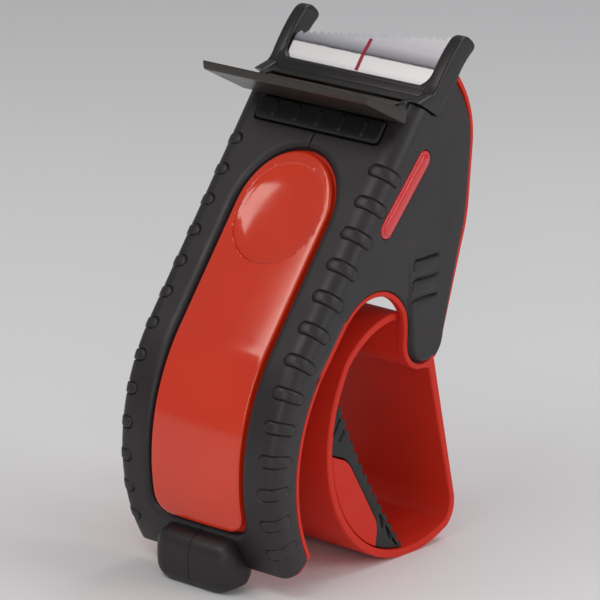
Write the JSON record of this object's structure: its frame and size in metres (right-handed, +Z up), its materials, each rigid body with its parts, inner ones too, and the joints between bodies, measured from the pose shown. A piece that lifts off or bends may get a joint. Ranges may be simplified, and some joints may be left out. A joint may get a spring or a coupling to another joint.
{
  "type": "tape gun dispenser",
  "caption": "Hand-held packing tape dispenser: a hollow hub for the hand carries the roll, and a curved body leads the tape to a toothed blade with a hinged wiper flap.",
  "frame": {"origin": "on the floor plane, below the middle of the bounding box, with the dispenser standing on its nose bumper and hub", "axes": "+X towards the leg side that carries the hub, -Y towards the front panel, +Z up towards the blade"},
  "size_m": [0.0562, 0.0864, 0.1435],
  "materials": {
    "red_shell": "moulded ABS, satin to semi-gloss",
    "red_panel": "high gloss moulded ABS",
    "black_cover": "soft-touch overmould, fine grain",
    "black_head": "glass-filled nylon, fine grain",
    "black_rubber": "matt rubber",
    "blade_steel": "cold rolled strip, brushed across",
    "pin_steel": "turned, zinc plated",
    "grey_nylon": "natural acetal",
    "crimson_mark": "printed line"
  },
  "bodies": {
    "body": {"right_frame": "red_shell", "left_frame": "red_shell", "right_cover": "black_cover", "left_cover": "black_cover", "rear_cover": "red_shell", "front_panel": "red_panel", "right_accent": "red_panel", "left_accent": "red_panel", "head_frame": "black_head", "blade": "blade_steel", "blade_mark": "crimson_mark", "blade_carrier": "grey_nylon", "blade_screw_right": "pin_steel", "blade_screw_left": "pin_steel", "flap_pin": "pin_steel", "flap_spring": "pin_steel", "brake_pin": "pin_steel", "guide_axle": "pin_steel", "tension_axle": "pin_steel", "hub_ring": "red_shell", "palm_grip_core": "red_shell", "palm_grip_pad": "black_rubber", "hub_screw_upper": "pin_steel", "hub_screw_lower": "pin_steel", "case_screw_top": "pin_steel", "case_screw_rear": "pin_steel", "case_screw_front": "pin_steel"},
    "flap": {"wiper_flap": "black_head"},
    "button": {"thumb_button": "black_head", "button_spring_right": "pin_steel", "button_spring_left": "pin_steel"},
    "brake": {"brake_lever": "grey_nylon", "brake_shoe": "black_rubber"},
    "guide": {"guide_roller": "grey_nylon"},
    "tension": {"tension_roller": "grey_nylon", "roller_sleeve_right": "black_rubber", "roller_sleeve_left": "black_rubber"},
    "latch": {"core_latch": "red_shell"}
  },
  "joints": [
    {"name": "flap_hinge", "type": "hinge", "parent": "body", "child": "flap", "pos_m": [0, 0.0093, 0.1257], "axis": [-1, 0, 0], "range_deg": [0, 75], "stiffness_Nm_per_rad": 0.01},
    {"name": "button_press", "type": "slide", "parent": "body", "child": "button", "axis": [0, 0.8171, -0.5764], "range_m": [0, 0.0024], "stiffness_N_per_m": 400},
    {"name": "brake_swing", "type": "hinge", "parent": "body", "child": "brake", "pos_m": [0, 0.0034, 0.107], "axis": [-1, 0, 0], "range_deg": [0, 12]},
    {"name": "guide_roller_spin", "type": "hinge", "parent": "body", "child": "guide", "pos_m": [0, 0.0235, 0.1246], "axis": [1, 0, 0], "continuous": true},
    {"name": "tension_roller_spin", "type": "hinge", "parent": "body", "child": "tension", "pos_m": [0, 0.0214, 0.107], "axis": [1, 0, 0], "continuous": true},
    {"name": "latch_flex", "type": "hinge", "parent": "body", "child": "latch", "pos_m": [-0.0132, 0.03536, 0.03164], "axis": [0, -0.3134, 0.9496], "range_deg": [0, 6], "stiffness_Nm_per_rad": 0.5}
  ],
  "couplings": [
    {"joint": "brake_swing", "follows": "button_press", "rad_per_m": 87.2}
  ]
}
